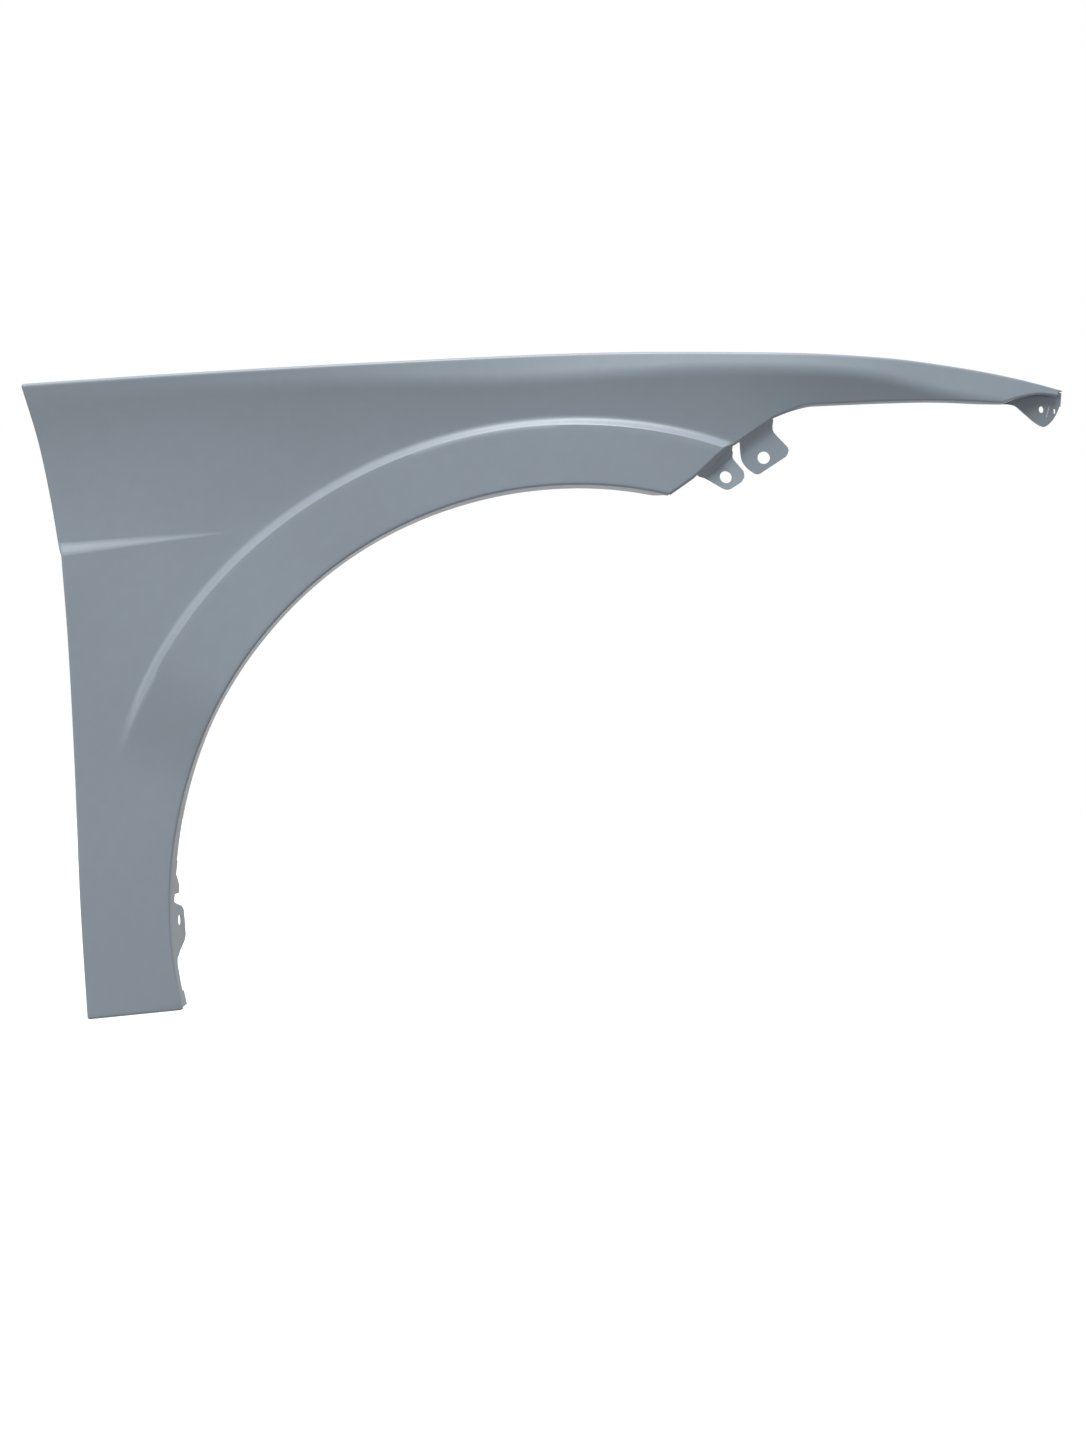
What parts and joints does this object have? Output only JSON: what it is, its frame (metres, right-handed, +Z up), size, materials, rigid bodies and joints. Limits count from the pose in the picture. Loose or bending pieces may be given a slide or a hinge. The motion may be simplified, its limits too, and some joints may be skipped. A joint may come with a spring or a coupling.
{
  "type": "car fender",
  "caption": "Right front fender panel: pressed steel skin with a flared wheel arch, spear over the headlamp, hood rail and joggled bolt tabs.",
  "frame": {"origin": "underside of the hood rail's middle bolt land, where it rests on the inner body, straight above the wheel's axis", "axes": "+X towards the front of the car, +Y inboard, +Z up"},
  "size_m": [0.9482, 0.165, 0.5938],
  "materials": {
    "primer": "satin grey-blue primer"
  },
  "bodies": {
    "root": {"fender_panel": "primer"}
  },
  "joints": []
}
